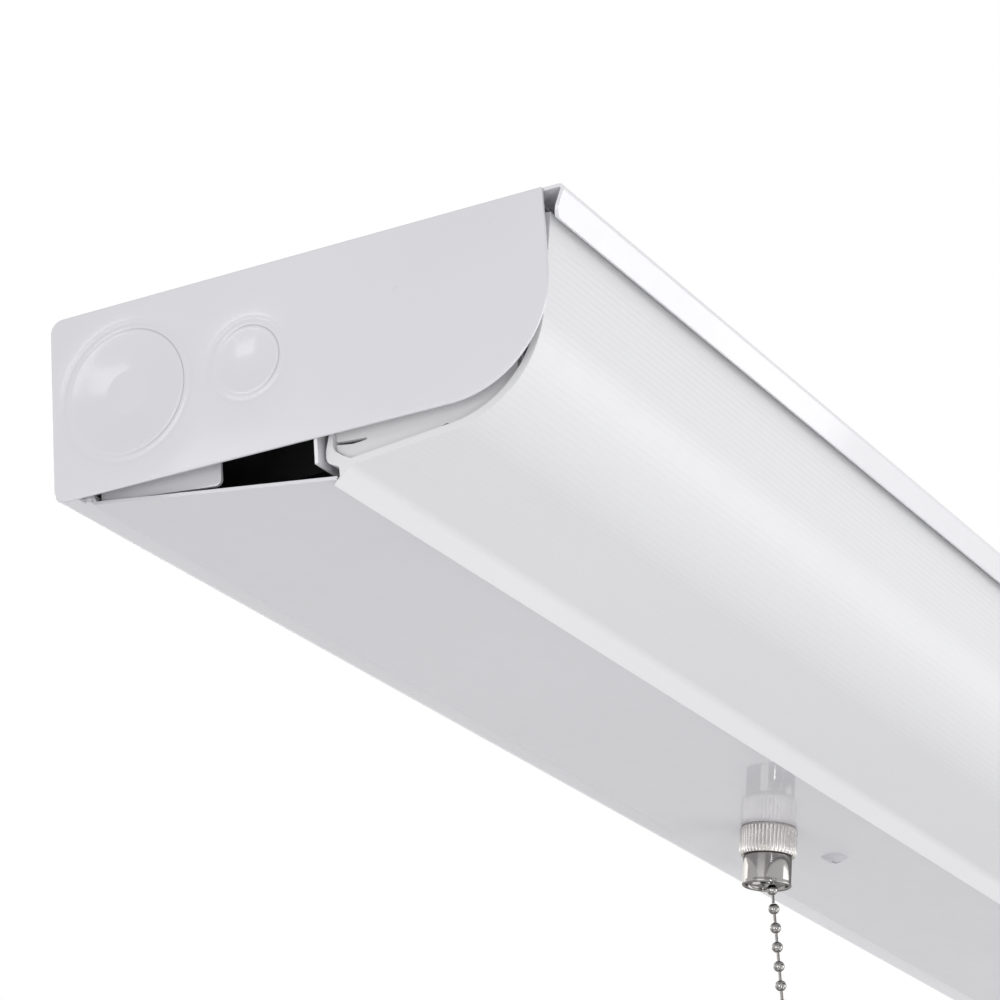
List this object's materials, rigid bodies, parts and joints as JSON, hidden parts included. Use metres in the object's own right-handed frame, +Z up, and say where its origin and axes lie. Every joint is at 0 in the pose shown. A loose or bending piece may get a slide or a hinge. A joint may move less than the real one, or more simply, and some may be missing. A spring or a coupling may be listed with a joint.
{
  "type": "fluorescent flush mount ceiling light",
  "caption": "Flush mount closet light with a folded steel channel, sloping wireway cover, ribbed wraparound lens, straight fluorescent lamp and a ball chain pull switch.",
  "frame": {"origin": "middle of the top face, which lies against the ceiling", "axes": "+X along the lamp, +Y toward the ballast side, +Z up into the ceiling"},
  "size_m": [0.47, 0.0961, 0.2045],
  "materials": {
    "housing_paint": "glossy white powder coat",
    "lens_acrylic": "white translucent acrylic with fine ribs",
    "ballast_paint": "satin black",
    "potting": "potting compound",
    "zinc": "bright zinc plate",
    "chrome": "bright nickel",
    "holder_plastic": "moulded white",
    "contact_brass": "bright",
    "lamp_glass": "glass with a white coating inside",
    "cap_aluminium": "satin",
    "switch_plastic": "moulded phenolic",
    "wire_blue": "insulation",
    "wire_red": "insulation",
    "wire_black": "insulation",
    "nut_orange": "moulded",
    "screw_green": "green plate"
  },
  "bodies": {
    "housing": {"ceiling_channel": "housing_paint", "end_plate_left": "housing_paint", "end_plate_right": "housing_paint", "wireway_partition": "housing_paint", "socket_plate_left": "housing_paint", "socket_plate_right": "housing_paint", "wireway_baffle_left": "housing_paint", "wireway_baffle_right": "housing_paint", "cover_strap": "housing_paint", "wireway_cover": "housing_paint", "cover_screw": "housing_paint", "ballast_can": "ballast_paint", "ballast_core": "potting", "ballast_base": "ballast_paint", "ballast_screws": "zinc", "ballast_leads": "wire_black", "switch_leads": "wire_black", "holder_leads_left": "wire_blue", "holder_leads_right": "wire_red", "wire_nuts": "nut_orange", "ground_screw": "screw_green", "lampholder_left": "holder_plastic", "lampholder_right": "holder_plastic", "holder_contacts_left": "contact_brass", "holder_contacts_right": "contact_brass", "switch_body": "switch_plastic", "switch_bushing": "chrome", "inner_nut": "zinc", "lock_washer": "zinc", "knurled_nut": "chrome", "chain_ferrule": "chrome"},
    "lens": {"lens": "lens_acrylic", "lens_end_left": "lens_acrylic", "lens_end_right": "lens_acrylic"},
    "lamp": {"lamp_tube": "lamp_glass", "lamp_cap_left": "cap_aluminium", "lamp_cap_right": "cap_aluminium", "lamp_pins_left": "contact_brass", "lamp_pins_right": "contact_brass"},
    "rotor_left": {"rotor_left": "holder_plastic"},
    "rotor_right": {"rotor_right": "holder_plastic"},
    "pull_stem": {"pull_stem": "chrome"},
    "chain_link": {"chain_link": "chrome"},
    "chain": {"pull_chain": "chrome", "chain_bell": "chrome"}
  },
  "joints": [
    {"name": "lens_swing", "type": "hinge", "parent": "housing", "child": "lens", "pos_m": [0, -0.0035, -0.03997], "axis": [1, 0, 0], "range_deg": [0, 55]},
    {"name": "lamp_twist", "type": "hinge", "parent": "housing", "child": "lamp", "pos_m": [0, -0.0245, -0.019], "axis": [1, 0, 0], "range_deg": [0, 90]},
    {"name": "rotor_left_turn", "type": "hinge", "parent": "housing", "child": "rotor_left", "pos_m": [-0.222, -0.0245, -0.019], "axis": [1, 0, 0], "range_deg": [0, 90]},
    {"name": "rotor_right_turn", "type": "hinge", "parent": "housing", "child": "rotor_right", "pos_m": [0.222, -0.0245, -0.019], "axis": [1, 0, 0], "range_deg": [0, 90]},
    {"name": "chain_pull", "type": "slide", "parent": "housing", "child": "pull_stem", "axis": [0, 0, -1], "range_m": [0, 0.007], "stiffness_N_per_m": 600},
    {"name": "chain_swing_along", "type": "hinge", "parent": "pull_stem", "child": "chain_link", "pos_m": [0, 0.02132, -0.05024], "axis": [0, 1, 0], "range_deg": [-45, 45]},
    {"name": "chain_swing_across", "type": "hinge", "parent": "chain_link", "child": "chain", "pos_m": [0, 0.02132, -0.05024], "axis": [1, 0, 0], "range_deg": [-45, 45]}
  ],
  "couplings": [
    {"joint": "rotor_left_turn", "follows": "lamp_twist", "ratio": 1},
    {"joint": "rotor_right_turn", "follows": "lamp_twist", "ratio": 1}
  ]
}
